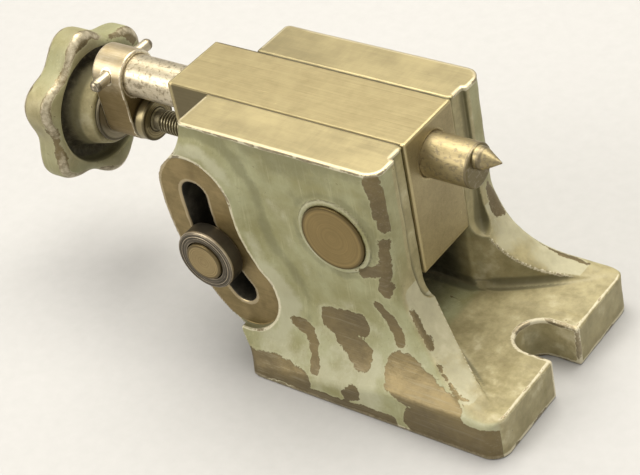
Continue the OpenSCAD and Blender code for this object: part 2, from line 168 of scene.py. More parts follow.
def body_field(x, y, z):
    """The casting: two flared cheeks on a slotted foot, bored and cut for the moving pieces."""
    ay = np.abs(y)
    drop = FLARE_TOP - 2.0 - 15.0 * unit((x + 60) / 70)
    sweep = (FLARE_OUT ** 2 + drop ** 2) / (2 * FLARE_OUT)
    flare = np.where(z > FLARE_TOP, ay - CHEEK_Y, sweep - np.hypot(ay - CHEEK_Y - sweep, z - FLARE_TOP))
    # the casting swells gently up to the flat face around the clamp slot
    arc = arc_distance(x, z)
    away = unit((arc - 19.0) / 15.0)
    swell = 3.9 * (1 - away * away * (3 - 2 * away))
    flare = flare - swell * np.clip((z - 14) / 28, 0.1, 1)
    gusset = GUSSET_R - np.hypot(x - CHEEK_FRONT - GUSSET_R, z - FOOT_Z - GUSSET_R)
    front = np.where(z > FOOT_Z + GUSSET_R, x - CHEEK_FRONT,
                     np.where(x > CHEEK_FRONT + GUSSET_R, z - FOOT_Z, gusset))
    corner = 2.2 + 4.3 * unit((z - 34) / 26)
    d = meet(flare, front, corner)
    d = meet(d, meet(ay - BASE_Y, x - FRONT_X, 8.0), 1.6)
    overhang = np.maximum(CHEEK_REAR - x, FLARE_TOP - z)
    outline = join(REAR_X - x, overhang, 4.0)
    outline = join(outline, arc - BOSS_R, 10.0 + 8.0 * unit((60 - z) / 20))
    d = meet(d, outline, 0.7 + 1.7 * unit((arc - 19) / 8))
    # the foot narrows toward the rear
    d = meet(d, (ay - np.maximum(49.5 + 0.83 * (x + 60), BOSS_Y + 2.5)) / 1.3, 2.0)
    spot = join(arc - 18.1, np.maximum(x + 67.5, z - 36), 2.0)
    d = cut(d, np.maximum(spot, BOSS_Y - ay), 0.3)
    about = np.hypot(x - PIVOT_X, z - PIVOT_Z)
    d = join(d, meet(about - HEAD_R - 2.4, ay - CHEEK_Y - 0.8, 0.5), 0.7)
    d = cut(d, np.maximum(about - HEAD_R - 0.12, y + CHEEK_Y - 5.2), 0.25)
    d = cut(d, about - PIVOT_BORE_R, 0.2)
    d = meet(d, z - TOP, 0.45)
    d = meet(d, -z, 0.7)
    # the pocket behind the foot's slot, the milled ledges, the channel and the slots
    wall_a = (-11.3 * (x - CHEEK_FRONT + 3.9) + 30.0 * (ay - CHANNEL_Y)) / 32.06
    wall_b = (-23.85 * (x - CHEEK_FRONT - 26.1) + 22.5 * (ay - CHANNEL_Y - 11.3)) / 32.79
    pocket = meet(join(wall_a, wall_b, 12.0), FOOT_Z - z, 2.6)
    d = cut(d, meet(pocket, CHEEK_FRONT - 3.9 - x, 0.5), 0.6)
    ledge = meet(meet(CHEEK_FRONT - LEDGE_BACK - x, ay - CHANNEL_Y - LEDGE_W, 0.5), LEDGE_Z - z, 6.0)
    d = cut(d, ledge, 0.5)
    d = cut(d, meet(ay - CHANNEL_Y, FOOT_Z - z, 1.2), 0.4)
    for side in (1, -1):
        reach = np.minimum(side * x - FRONT_X + FOOT_SLOT_DEEP, 0)
        d = cut(d, np.hypot(reach, y) - FOOT_SLOT_R, 0.8)
    return cut(d, arc - ARC_SLOT_R, 0.6)


def block_field(x, y, z):
    """The tilting block, with a lug for the clamp bolt below it."""
    half = BLOCK_HIGH[1]
    ay = np.abs(y)
    tall = meet(z - BLOCK_HIGH[2], TOP - 60.5 - z, 0.1)
    d = meet(meet(ay - half, tall, 0.55), meet(x - BLOCK_HIGH[0], BLOCK_LOW[0] - x, 0.1), 0.4)
    lug = meet(np.hypot(x - BOLT_X, z - BOLT_Z) - LUG_R, ay - half, 0.5)
    d = join(d, lug, 1.0)
    d = cut(d, np.hypot(y, z - QUILL_Z) - QUILL_R - 0.03, 0.5)
    rear = np.maximum(np.hypot(y, z - SCREW_Z) - BUSH_BORE_R, x - BLOCK_LOW[0] - 30)
    return cut(d, rear, 0.4)


def knob_field(x, y, z):
    """The knob: six soft lobes, a dished face and a tapered hub."""
    low, high = KNOB_LOW[0], RIM_X
    q = np.hypot(y, z - SCREW_Z)
    wave = np.cos(6 * (np.arctan2(z - SCREW_Z, y) - math.radians(33)))
    star = 0.9 * (q - 33.0 - 2.9 * wave)
    d = meet(star, np.abs(x - (low + high) / 2) - (high - low) / 2, 4.6)
    d = cut(d, meet(q - 25.4, high - 9.0 - x, 4.5), 1.8)
    taper = 15.5 + 4.5 * unit((KNOB_HIGH[0] - x) / 16.6)
    hub = meet(meet(q - taper, x - KNOB_HIGH[0], 0.9), low + 1 - x, 0.5)
    d = join(d, hub, 3.2)
    return cut(d, q - 6.04, 0.3)


def yoke_field(x, y, z):
    """The yoke: two round ends joined by straight sides, bored for quill, screw and cross pin."""
    r1, r2, h = 10.9, 9.9, QUILL_Z - SCREW_Z
    across, down = np.abs(y), QUILL_Z - z
    b = (r1 - r2) / h
    a = math.sqrt(1 - b * b)
    k = -b * across + a * down
    d = np.where(k < 0, np.hypot(across, down) - r1,
                 np.where(k > a * h, np.hypot(across, down - h) - r2, across * a + down * b - r1))
    d = meet(d, np.abs(x - (YOKE_LOW[0] + YOKE_HIGH[0]) / 2) - (YOKE_HIGH[0] - YOKE_LOW[0]) / 2, 0.7)
    d = cut(d, np.hypot(y, z - QUILL_Z) - QUILL_R - 0.02, 0.55)
    d = cut(d, np.hypot(y, z - SCREW_Z) - 6.03, 0.4)
    return cut(d, np.hypot(x - PIN_X, z - PIN_Z) - PIN_R - 0.02, 0.3)


def nut_field(axis, centre, low, high, flats, bore):
    """A hexagon nut along X or Y, chamfered toward its outer end: low along X, high along Y."""
    def field(x, y, z):
        along, across = (y, x - centre[0]) if axis == "Y" else (x, y - centre[0])
        up = z - centre[1]
        flat, point = (up, across) if axis == "Y" else (across, up)
        hexa = np.abs(point) * math.cos(math.radians(30)) + np.abs(flat) * 0.5
        d = np.maximum(hexa, np.abs(flat)) - flats / 2
        d = meet(d, meet(along - high, low - along, 0.2), 0.25)
        q = np.hypot(across, up)
        gap = high - along if axis == "Y" else along - low
        d = meet(d, (q - flats / 2 - gap * 1.9) / 2.15, 0.2)
        chamfer = (bore + 0.9 - q - gap) / 1.41
        return meet(cut(d, q - bore, 0.2), chamfer, 0.1)
    return field


# ---------------------------------------------------------------- meshes
def lattice(points, size, seed):
    """Smooth value noise from -1 to 1 on a seeded lattice."""
    table = np.random.default_rng(seed).random((32, 32, 32)) * 2 - 1
    q = points / size + 1000.0
    i = np.floor(q).astype(int)
    f = q - i
    f = f * f * (3 - 2 * f)
    out = np.zeros(len(points))
    for c in range(8):
        step = np.array([c & 1, c >> 1 & 1, c >> 2 & 1])
        w = np.prod(np.where(step == 1, f, 1 - f), axis=1)
        j = (i + step) % 32
        out += w * table[j[:, 0], j[:, 1], j[:, 2]]
    return out


def gradient(field, p):
    """Outward direction and slope of a field at each point."""
    reach = 0.04
    g = np.empty_like(p)
    for k in range(3):
        step = np.zeros(3)
        step[k] = reach
        g[:, k] = field(*(p + step).T) - field(*(p - step).T)
    length = np.maximum(np.linalg.norm(g, axis=1), 1e-9)
    return g / length[:, None], length / (2 * reach)


CORNERS = [(i & 1, i >> 1 & 1, i >> 2 & 1) for i in range(8)]
CELL_EDGES = [(a, b) for a in range(8) for b in range(a + 1, 8) if bin(a ^ b).count("1") == 1]


def surface(field, low, high, step):
    """Vertices and quads of the zero surface of a field, by surface nets."""
    low = np.array(low, float) - 1.5 * step
    count = [int(math.ceil((h + 1.5 * step - l) / step)) + 1 for l, h in zip(low, high)]
    axes = [(l + step * np.arange(n)).astype(np.float32) for l, n in zip(low, count)]
    d = field(*np.meshgrid(*axes, indexing="ij")).astype(np.float32)
    inside = d < 0
    total = np.zeros([n - 1 for n in count], np.int8)
    for i, j, k in CORNERS:
        total += inside[i:count[0] - 1 + i, j:count[1] - 1 + j, k:count[2] - 1 + k]
    active = (total > 0) & (total < 8)
    cells = np.argwhere(active)
    index = np.full(active.shape, -1)
    index[active] = np.arange(len(cells))
    value = [d[tuple((cells + c).T)] for c in CORNERS]
    place = np.zeros((len(cells), 3))
    hits = np.zeros(len(cells))
    for a, b in CELL_EDGES:
        va, vb = value[a], value[b]
        crossed = (va < 0) != (vb < 0)
        t = np.where(crossed, va / np.where(crossed, va - vb, 1), 0)
        at = np.array(CORNERS[a]) + t[:, None] * (np.array(CORNERS[b]) - np.array(CORNERS[a]))
        place += at * crossed[:, None]
        hits += crossed
    p = low + step * (cells + place / hits[:, None])
    quads = []
    for axis in range(3):
        near = [slice(1, -1)] * 3
        far = [slice(1, -1)] * 3
        near[axis], far[axis] = slice(0, -1), slice(1, None)
        first, second = inside[tuple(near)], inside[tuple(far)]
        where = np.argwhere(first != second)
        flip = first[tuple(where.T)]
        base = where.copy()
        others = [k for k in range(3) if k != axis]
        for k in others:
            base[:, k] += 1
        u, v = np.zeros(3, int), np.zeros(3, int)
        u[others[0]], v[others[1]] = 1, 1
        ring = [index[tuple((base - s).T)] for s in (u + v, v, 0 * u, u)]
        ring = np.stack(ring, 1)
        outward = flip if axis != 1 else ~flip
        ring[~outward] = ring[~outward][:, ::-1]
        quads.append(ring)
    for _ in range(4):
        n, slope = gradient(field, p)
        move = np.clip(field(*p.T) / np.maximum(slope, 0.3), -step, step)
        p = p - n * move[:, None]
    return p, np.concatenate(quads)


def mesh_object(name, points, faces, layers=None, sharp=None):
    """A mesh object from points in mm and quads, smooth shaded, with float layers on its points."""
    me = bpy.data.meshes.new(name)
    me.vertices.add(len(points))
    me.vertices.foreach_set("co", (np.asarray(points) * MM).astype(np.float32).ravel())
    faces = np.asarray(faces)
    me.loops.add(faces.size)
    me.loops.foreach_set("vertex_index", faces.ravel().astype(np.int32))
    me.polygons.add(len(faces))
    me.polygons.foreach_set("loop_start", np.arange(0, faces.size, faces.shape[1], dtype=np.int32))
    me.polygons.foreach_set("use_smooth", np.ones(len(faces), bool))
    me.update(calc_edges=True)
    for key, values in (layers or {}).items():
        layer = me.attributes.new(key, "FLOAT", "POINT")
        layer.data.foreach_set("value", np.asarray(values, np.float32))
    me.validate()
    if sharp:
        me.set_sharp_from_angle(angle=math.radians(sharp))
    ob = bpy.data.objects.new(name, me)
    bpy.context.scene.collection.objects.link(ob)
    return ob


def edge_and_hollow_layers(field, p, edge_depth, hollow_depth):
    """How near each point is to an outer edge and how deep in a corner."""
    n, _ = gradient(field, p)
    edge = unit(3.2 * (1 + field(*(p - n * edge_depth).T) / edge_depth))
    hollow = unit(2.2 * (1 - field(*(p + n * hollow_depth).T) / hollow_depth))
    return n, {"edge": edge, "hollow": hollow}


def field_object(name, field, low, high, step, edge_depth, hollow_depth):
    p, quads = surface(field, low, high, step)
    _, layers = edge_and_hollow_layers(field, p, edge_depth, hollow_depth)
    return mesh_object(name, p, quads, layers)


def rounded(profile, steps=4):
    """Profile points (along, radius, corner) with round corners, and edge and hollow values for each.

    A fourth number in a point says how worn that corner is, from 0 to 1.
    """
    out = []
    n = len(profile)
    for i, (a, r, corner, *worn) in enumerate(profile):
        if corner == 0 or i in (0, n - 1):
            out.append((a, r, 0.0, 0.0))
            continue
        here = np.array([a, r])
        back = np.array(profile[i - 1][:2]) - here
        ahead = np.array(profile[i + 1][:2]) - here
        lb, la = np.linalg.norm(back), np.linalg.norm(ahead)
        back, ahead = back / lb, ahead / la
        size = min(corner, 0.45 * lb, 0.45 * la)
        convex = back[0] * ahead[1] - back[1] * ahead[0] < 0
        mark = (worn[0] if worn else 1.0, 0.0) if convex else (0.0, 1.0)
        guard = min(size + 0.9, 0.49 * lb)
        out.append((*(here + back * guard), 0.0, 0.0))
        for k in range(steps + 1):
            t = k / steps
            point = here + back * size * (1 - t) ** 2 + ahead * size * t ** 2
            out.append((*point, *mark))
        guard = min(size + 0.9, 0.49 * la)
        out.append((*(here + ahead * guard), 0.0, 0.0))
    return out


def lathe(name, profile, axis, centre, segments=96):
    """A turned piece: a profile for rounded(), turned about an axis through centre (two numbers)."""
    rows = rounded(profile)
    angle = np.linspace(0, 2 * math.pi, segments, endpoint=False)
    points, edge, hollow = [], [], []
    for a, r, e, h in rows:
        r = max(r, 0.0)
        ring = np.stack([np.full(segments, a), r * np.cos(angle), r * np.sin(angle)], 1)
        points.append(ring)
        edge += [e] * segments
        hollow += [h] * segments
    points = np.concatenate(points)
    if axis == "X":
        points = np.stack([points[:, 0], centre[0] + points[:, 1], centre[1] + points[:, 2]], 1)
    else:
        points = np.stack([centre[0] + points[:, 2], points[:, 0], centre[1] + points[:, 1]], 1)
    faces = []
    seg = np.arange(segments)
    nxt = (seg + 1) % segments
    for k in range(len(rows) - 1):
        a, b = k * segments, (k + 1) * segments
        faces.append(np.stack([a + seg, a + nxt, b + nxt, b + seg], 1))
    return mesh_object(name, points, np.concatenate(faces)[:, ::-1],
                       {"edge": edge, "hollow": hollow}, 35)


def weld(ob):
    """Merge doubled points, such as a turned piece's middle, and set its faces outward."""
    import bmesh
    bm = bmesh.new()
    bm.from_mesh(ob.data)
    bmesh.ops.remove_doubles(bm, verts=bm.verts, dist=0.00001)
    bmesh.ops.recalc_face_normals(bm, faces=bm.faces)
    bm.to_mesh(ob.data)
    bm.free()
    ob.data.set_sharp_from_angle(angle=math.radians(35))
    return ob


def threaded(name, low, high, radius, pitch, axis, centre, depth_share=0.6, segments=60):
    """A length of screw thread with a chamfer at each end."""
    depth = pitch * depth_share
    rows = int((high - low) / pitch * 10) + 1
    along = np.linspace(low, high, rows)
    angle = np.linspace(0, 2 * math.pi, segments, endpoint=False)
    a, t = np.meshgrid(along, angle, indexing="ij")
    phase = np.mod(a / pitch - t / (2 * math.pi), 1.0)
    tooth = unit(1.32 - np.abs(phase - 0.5) * 3.3)
    r = radius - depth * (1 - tooth)
    end = np.minimum(a - low, high - a)
    r = np.minimum(r, radius - depth + end)
    body = np.stack([a, r * np.cos(t), r * np.sin(t)], 2).reshape(-1, 3)
    edge = (tooth > 0.9).astype(float).ravel()
    hollow = (tooth < 0.25).astype(float).ravel()
    caps = np.array([[low, 0, 0], [high, 0, 0]])
    points = np.concatenate([body, caps])
    if axis == "X":
        points = np.stack([points[:, 0], centre[0] + points[:, 1], centre[1] + points[:, 2]], 1)
    else:
        points = np.stack([centre[0] + points[:, 2], points[:, 0], centre[1] + points[:, 1]], 1)
    faces = []
    for i in range(rows - 1):
        for j in range(segments):
            k = (j + 1) % segments
            faces.append((i * segments + j, (i + 1) * segments + j, (i + 1) * segments + k,
                          i * segments + k))
    last = (rows - 1) * segments
    cap_low, cap_high = len(body), len(body) + 1
    me = bpy.data.meshes.new(name)
    tris = [((j + 1) % segments, cap_low, j) for j in range(segments)]
    tris += [(last + j, cap_high, last + (j + 1) % segments) for j in range(segments)]
    me.from_pydata((points * MM).tolist(), [], faces + tris)
    for key, values in (("edge", edge), ("hollow", hollow)):
        layer = me.attributes.new(key, "FLOAT", "POINT")
        layer.data.foreach_set("value", np.concatenate([values, [0, 0]]).astype(np.float32))
    me.polygons.foreach_set("use_smooth", np.ones(len(me.polygons), bool))
    me.update()
    ob = bpy.data.objects.new(name, me)
    bpy.context.scene.collection.objects.link(ob)
    return weld(ob)


def merge(name, *obs):
    """One object from several, kept as one piece."""
    with bpy.context.temp_override(active_object=obs[0], object=obs[0], selected_objects=list(obs),
                                   selected_editable_objects=list(obs)):
        bpy.ops.object.join()
    obs[0].name = name
    return obs[0]


def stand_for(ob, node, slot, material):
    """Put an object in a CAD node's place, on the same body, with its material; the slot argument is not
    used.
    """
    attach(ob, frame["nodes"][node]["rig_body"])
    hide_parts(node)
    ob.data.materials.clear()
    ob.data.materials.append(material)
    return ob


# ---------------------------------------------------------------- material nodes
class Nodes:
    """Short names for building one material from nodes."""

    def __init__(self, name):
        self.mat = bpy.data.materials.new(name)
        self.mat.use_nodes = True
        self.tree = self.mat.node_tree
        self.bsdf = next(n for n in self.tree.nodes if n.type == "BSDF_PRINCIPLED")
        self.place = self.new("ShaderNodeTexCoord").outputs["Object"]

    def new(self, kind):
        return self.tree.nodes.new(kind)

    def put(self, socket, value):
        if isinstance(value, bpy.types.NodeSocket):
            self.tree.links.new(value, socket)
        elif isinstance(value, (tuple, list)) and len(value) == 3 and socket.type == "RGBA":
            socket.default_value = (*value, 1.0)
        else:
            socket.default_value = value

    def layer(self, name):
        n = self.new("ShaderNodeAttribute")
        n.attribute_name = name
        return n.outputs["Fac"]

    def math(self, op, a, b=0.0):
        n = self.new("ShaderNodeMath")
        n.operation = op
        self.put(n.inputs[0], a)
        self.put(n.inputs[1], b)
        return n.outputs[0]

    def vector(self, op, a, b=(0, 0, 0)):
        n = self.new("ShaderNodeVectorMath")
        n.operation = op
        self.put(n.inputs[0], a)
        n.inputs[1].default_value = b
        return n.outputs

    def mul(self, a, b):
        return self.math("MULTIPLY", a, b)

    def less(self, a, b):
        return self.math("SUBTRACT", a, b)

    def sum(self, *terms):
        out = terms[0]
        for t in terms[1:]:
            out = self.math("ADD", out, t)
        return out

    def ramp(self, value, low, high, to_low=0.0, to_high=1.0, smooth=True):
        n = self.new("ShaderNodeMapRange")
        n.interpolation_type = "SMOOTHSTEP" if smooth else "LINEAR"
        for key, v in (("Value", value), ("From Min", low), ("From Max", high), ("To Min", to_low),
                       ("To Max", to_high)):
            self.put(n.inputs[key], v)
        return n.outputs["Result"]

    def mix(self, fac, a, b, mode="MIX"):
        n = self.new("ShaderNodeMix")
        n.data_type = "RGBA"
        n.blend_type = mode
        self.put(n.inputs[0], fac)
        self.put(n.inputs[6], a)
        self.put(n.inputs[7], b)
        return n.outputs[2]

    def blend(self, fac, a, b):
        n = self.new("ShaderNodeMix")
        n.data_type = "FLOAT"
        self.put(n.inputs[0], fac)
        self.put(n.inputs[2], a)
        self.put(n.inputs[3], b)
        return n.outputs[0]

    def stretched(self, scale, turn=(0, 0, 0)):
        n = self.new("ShaderNodeMapping")
        self.put(n.inputs["Vector"], self.place)
        n.inputs["Rotation"].default_value = [math.radians(a) for a in turn]
        n.inputs["Scale"].default_value = scale
        return n.outputs[0]

    def noise(self, size_mm, detail=3.0, rough=0.5, warp=0.0, vector=None):
        """Noise of about that feature size; a vector already scaled gives size relative to 1 mm."""
        n = self.new("ShaderNodeTexNoise")
        self.put(n.inputs["Vector"], vector or self.place)
        n.inputs["Scale"].default_value = 1000.0 / size_mm
        n.inputs["Detail"].default_value = detail
        n.inputs["Roughness"].default_value = rough
        n.inputs["Distortion"].default_value = warp
        return n.outputs["Fac"]

    def xyz(self):
        n = self.new("ShaderNodeSeparateXYZ")
        self.put(n.inputs[0], self.place)
        return n.outputs

    def bump(self, height, distance_mm, strength):
        n = self.new("ShaderNodeBump")
        n.inputs["Strength"].default_value = strength
        n.inputs["Distance"].default_value = distance_mm * MM
        self.put(n.inputs["Height"], height)
        return n.outputs[0]

    def finish(self, colour, rough, metal, normal):
        self.put(self.bsdf.inputs["Base Color"], colour)
        self.put(self.bsdf.inputs["Roughness"], rough)
        self.put(self.bsdf.inputs["Metallic"], metal)
        self.put(self.bsdf.inputs["Normal"], normal)
        return self.mat


PAINT = (0.305, 0.305, 0.172)
PAINT_OLIVE = (0.220, 0.208, 0.090)
PAINT_PALE = (0.470, 0.455, 0.290)
PAINT_DIRT_AND_SHADE = (0.095, 0.086, 0.042)
KHAKI = (0.345, 0.300, 0.160)
KHAKI_DARK = (0.215, 0.182, 0.085)
WORN_PALE = (0.640, 0.590, 0.440)
IRON_DARK = (0.128, 0.100, 0.052)
IRON_BROWN = (0.196, 0.152, 0.072)
IRON_GREY = (0.265, 0.232, 0.155)
GOLD_GREY = (0.445, 0.378, 0.212)


def scratches(m, along, across_mm=0.35, length_mm=14.0, turn=(0, 0, 0)):
    """Fine lines running along one axis, from 0 to 1."""
    scale = [1.0, 1.0, 1.0]
    scale[along] = across_mm / length_mm
    fine = m.noise(across_mm, 2.0, 0.6, vector=m.stretched(scale, turn))
    wide = m.noise(across_mm * 4, 2.0, 0.6, vector=m.stretched(scale, turn))
    return m.sum(m.mul(fine, 0.6), m.mul(wide, 0.4))


def steel(name, colour, dark, rough=0.34, along=0, bright=1.25, stain_and_shading=0.5, line=0.35, pits=0.0,
          metal=0.9, edge_gain=0.8, turned=None, length=14.0, tint=None, dark_end_face=None):
    """Bare worked metal: fine working lines, stains, dirty corners with painted shade, and bright worn
    edges.
    """
    m = Nodes(name)
    edge, hollow = m.layer("edge"), m.layer("hollow")
    cloud = m.noise(16.0, 4.0, 0.6)
    spot = m.noise(3.2, 5.0, 0.65)
    if turned:
        centre, axis = turned
        away = m.vector("SUBTRACT", m.place, [c * MM for c in centre])[0]
        away = m.vector("MULTIPLY", away, [0.0 if k == axis else 1.0 for k in range(3)])[0]
        ring = m.new("ShaderNodeTexNoise")
        ring.noise_dimensions = "1D"
        m.put(ring.inputs["W"], m.vector("LENGTH", away)["Value"])
        ring.inputs["Scale"].default_value = 1000.0 / line
        ring.inputs["Detail"].default_value = 3.0
        lines = ring.outputs["Fac"]
    else:
        lines = scratches(m, along, line, length)
    tone = m.sum(m.mul(cloud, stain_and_shading), m.mul(spot, stain_and_shading * 0.5), m.mul(lines, 0.5))
    tone = m.ramp(tone, 0.25 + 0.45 * stain_and_shading, 0.55 + 0.9 * stain_and_shading, smooth=False)
    base = m.mix(tone, dark, colour)
    if tint:
        side, start, end, hue, amount = tint
        share = m.ramp(m.sum(m.xyz()[side], m.mul(m.less(spot, 0.5), 6 * MM)), start * MM, end * MM)
        base = m.mix(m.mul(share, amount), base, m.mix(tone, shade(hue, 0.5), hue))
    scuff = m.ramp(m.noise(5.0, 6.0, 0.7, 0.6, m.stretched((0.35, 1.0, 1.0), (0, 0, 24))), 0.66, 0.72)
    bright_col = tuple(min(1.0, c) for c in shade(colour, bright))
    base = m.mix(m.mul(scuff, 0.35), base, bright_col)
    worn = m.mul(m.ramp(m.sum(edge, m.mul(spot, 0.4)), 0.35, 0.8), edge_gain)
    base = m.mix(worn, base, bright_col)
    # darker in hollows: dirty corners with painted shade
    base = m.mix(m.mul(m.ramp(hollow, 0.15, 0.8), 0.75), base, shade(dark, 0.35))
    # the quill's end face is coloured darker
    if dark_end_face:
        side, at, hue = dark_end_face
        gap = m.math("ABSOLUTE", m.less(m.xyz()[side], at * MM))
        base = m.mix(m.ramp(gap, 0.45 * MM, 0.15 * MM), base, m.mix(tone, shade(hue, 0.6), hue))
    height = m.mul(lines, 0.5)
    if pits:
        pit = m.ramp(m.noise(1.6, 4.0, 0.6, 0.3), 0.34, 0.5)
        base = m.mix(m.mul(m.less(1.0, pit), pits), base, shade(dark, 0.55))
        height = m.sum(height, m.mul(pit, 1.6 * pits))
    roughness = m.sum(m.mul(tone, -0.12), m.mul(spot, 0.16), m.mul(worn, -0.08), rough + 0.05)
    if tint:
        roughness = m.sum(roughness, m.mul(share, 0.10))
    normal = m.bump(height, 0.05, 0.55)
    return m.finish(base, roughness, metal, normal)


def painted(name, zones):
    """Old sage paint on cast iron, chipped through to the iron, with rubbed edges, and dirty corners
    with painted shade.
    """
    m = Nodes(name)
    edge, hollow, chip = m.layer("edge"), m.layer("hollow"), m.layer("chip")
    x, y, z = m.xyz()
    big, mid = m.noise(34.0, 4.0, 0.55), m.noise(8.0, 5.0, 0.6)
    fine, grit = m.noise(2.4, 5.0, 0.65, 0.3), m.noise(0.9, 3.0, 0.6)
    brush = scratches(m, 2, 0.9, 16.0, (0, 14, 0))
    paint = m.mix(m.ramp(m.sum(big, m.mul(mid, 0.5)), 0.55, 0.95), PAINT_OLIVE, PAINT)
    paint = m.mix(m.mul(m.ramp(brush, 0.52, 0.72), 0.28), paint, PAINT_PALE)
    paint = m.mix(m.mul(m.ramp(fine, 0.56, 0.78), 0.22), paint, PAINT_PALE)
    paint = m.mix(m.mul(m.ramp(grit, 0.60, 0.74), 0.35), paint, PAINT_DIRT_AND_SHADE)
    paint = m.mix(m.mul(m.ramp(m.noise(4.5, 6.0, 0.72, 0.8), 0.56, 0.70), 0.38), paint, PAINT_OLIVE)
    rubbed = m.mix(m.ramp(m.sum(mid, m.mul(fine, 0.5)), 0.50, 0.95), KHAKI_DARK, KHAKI)
    rubbed = m.mix(m.mul(m.ramp(m.sum(mid, m.mul(big, 0.6)), 0.86, 1.10), 0.35), rubbed, WORN_PALE)
    rubbed = m.mix(m.mul(m.ramp(grit, 0.62, 0.76), 0.3), rubbed, PAINT_DIRT_AND_SHADE)
    paint = m.mix(m.layer("khaki"), paint, rubbed)
    if zones.get("body"):
        # stain_and_shading layer: dark and pale stains, with painted shade in the valley round the boss
        # and a painted highlight on the swell's crest
        stain_and_shading = m.sum(m.layer("stain_and_shading"), m.mul(m.less(fine, 0.5), 0.9))
        paint = m.mix(m.mul(m.ramp(stain_and_shading, 0.10, 0.80), 0.55), paint, (0.135, 0.130, 0.060))
        paint = m.mix(m.mul(m.ramp(stain_and_shading, -0.15, -0.90), 0.50), paint, (0.450, 0.440, 0.325))
    # darker in hollows: dirty corners with painted shade
    dirt_and_shade = m.ramp(m.sum(hollow, m.mul(mid, 0.35)), 0.22, 0.95)
    paint = m.mix(m.mul(dirt_and_shade, 0.72), paint, PAINT_DIRT_AND_SHADE)
    # where the paint is gone: marked places, rubbed edges and small nicks
    ragged = m.sum(chip, m.mul(m.less(mid, 0.5), zones["ragged"]), m.mul(m.less(fine, 0.5), 3.4))
    patch = m.ramp(ragged, 0.18, -0.12)
    rub = m.ramp(m.sum(m.mul(edge, zones["rub"]), mid, m.mul(fine, 0.5)), 1.06, 1.14)
    nick = m.ramp(m.sum(m.noise(3.0, 2.0, 0.5, 0.8), m.mul(big, 0.25)), 0.885, 0.90)
    bare = m.math("MAXIMUM", m.math("MAXIMUM", patch, rub), nick)
    rim = m.mul(m.ramp(ragged, 1.5, 0.2), m.less(1.0, bare))
    paint = m.mix(m.mul(rim, 0.22), paint, PAINT_PALE)
    worn = m.ramp(m.sum(edge, m.mul(mid, 0.5), m.mul(fine, 0.4)), 0.78, 1.15)
    paint = m.mix(m.mul(worn, 0.75), paint, WORN_PALE)
    work = scratches(m, 0, 0.5, 18.0, (0, 22, 0))
    iron = m.mix(m.ramp(m.sum(big, m.mul(fine, 0.4)), 0.5, 0.95), IRON_DARK, IRON_BROWN)
    iron = m.mix(m.mul(m.ramp(work, 0.5, 0.68), 0.45), iron, IRON_GREY)
    crest = m.mul(m.ramp(m.sum(edge, m.mul(m.less(fine, 0.5), 0.8)), 0.35, 0.9), zones["bright"])
    iron = m.mix(crest, iron, m.mix(m.ramp(fine, 0.36, 0.66), (0.33, 0.29, 0.20), (0.54, 0.48, 0.355)))
    colour = m.mix(bare, paint, iron)
    # grime_and_shade layer: on the body, near-black dirty paint with painted shade low in the channel
    # under the block; on the knob, its dark rough dish
    grime_and_shade = m.mul(m.layer("grime_and_shade"), m.ramp(m.sum(mid, fine), 0.70, 1.0, 1.0, 0.72))
    colour = m.mix(grime_and_shade, colour, m.mix(m.ramp(fine, 0.45, 0.75), (0.030, 0.025, 0.016),
                                        (0.135, 0.115, 0.075)))
    rough = m.blend(bare, m.sum(m.mul(fine, 0.2), m.mul(dirt_and_shade, 0.15), 0.40),
                    m.sum(m.mul(work, 0.25), 0.30))
    metal = m.mul(bare, 0.62)
    height = m.sum(m.mul(mid, 1.2), m.mul(fine, 0.5), m.mul(grit, 0.12),
                   m.mul(bare, -0.55), m.mul(work, m.mul(bare, 0.2)),
                   m.mul(m.mul(grime_and_shade, m.noise(2.0, 4.0, 0.7)), 5.0))
    if zones.get("body"):
        arc = m.layer("arc")
        side = m.math("ABSOLUTE", y)
        # machined top, boss faces, the slot walls in painted shade, and the channel walls
        top = m.ramp(z, (TOP - 0.42) * MM, (TOP - 0.2) * MM)
        face = m.mul(m.ramp(arc, 0.15, -0.05),
                     m.ramp(side, (BOSS_Y - 0.45) * MM, (BOSS_Y - 0.25) * MM))
        face = m.mul(face, m.ramp(side, (BOSS_Y + 0.4) * MM, (BOSS_Y + 0.2) * MM))
        wall = m.ramp(arc, -11.0, -11.5)
        inner = m.mul(m.ramp(side, (CHANNEL_Y + 0.5) * MM, (CHANNEL_Y + 0.3) * MM),
                      m.ramp(z, (FOOT_Z + 0.3) * MM, (FOOT_Z + 1.5) * MM))
        inner = m.mul(inner, m.ramp(x, (CHEEK_FRONT - 3.0) * MM, (CHEEK_FRONT - 16.0) * MM))
        under = m.ramp(z, 0.5 * MM, 0.2 * MM)
        lay = scratches(m, 0, 0.35, 16.0, (0, 0, 9))
        cross = scratches(m, 1, 0.5, 9.0, (0, 0, 20))
        tone = m.ramp(m.sum(m.mul(big, 0.8), m.mul(mid, 0.35),
                            m.mul(lay, 0.35), m.mul(cross, 0.2)), 0.62, 1.12)
        plate = m.mix(tone, shade(GOLD_GREY, 0.62), GOLD_GREY)
        speck = m.ramp(m.noise(2.2, 3.0, 0.7, 0.5), 0.70, 0.74)
        plate = m.mix(m.mul(speck, 0.5), plate, shade(GOLD_GREY, 0.4))
        plate = m.mix(m.mul(m.ramp(edge, 0.45, 0.85), 0.75), plate, (0.62, 0.55, 0.38))
        plate = m.mix(m.mul(m.layer("seam"), 0.9), plate, (0.040, 0.034, 0.018))
        brown = m.mix(m.ramp(m.sum(mid, m.mul(lay, 0.5)), 0.5, 1.0), (0.165, 0.122, 0.048),
                      (0.265, 0.200, 0.088))
        brown = m.mix(m.mul(m.ramp(edge, 0.3, 0.8), 0.55), brown, (0.50, 0.42, 0.28))
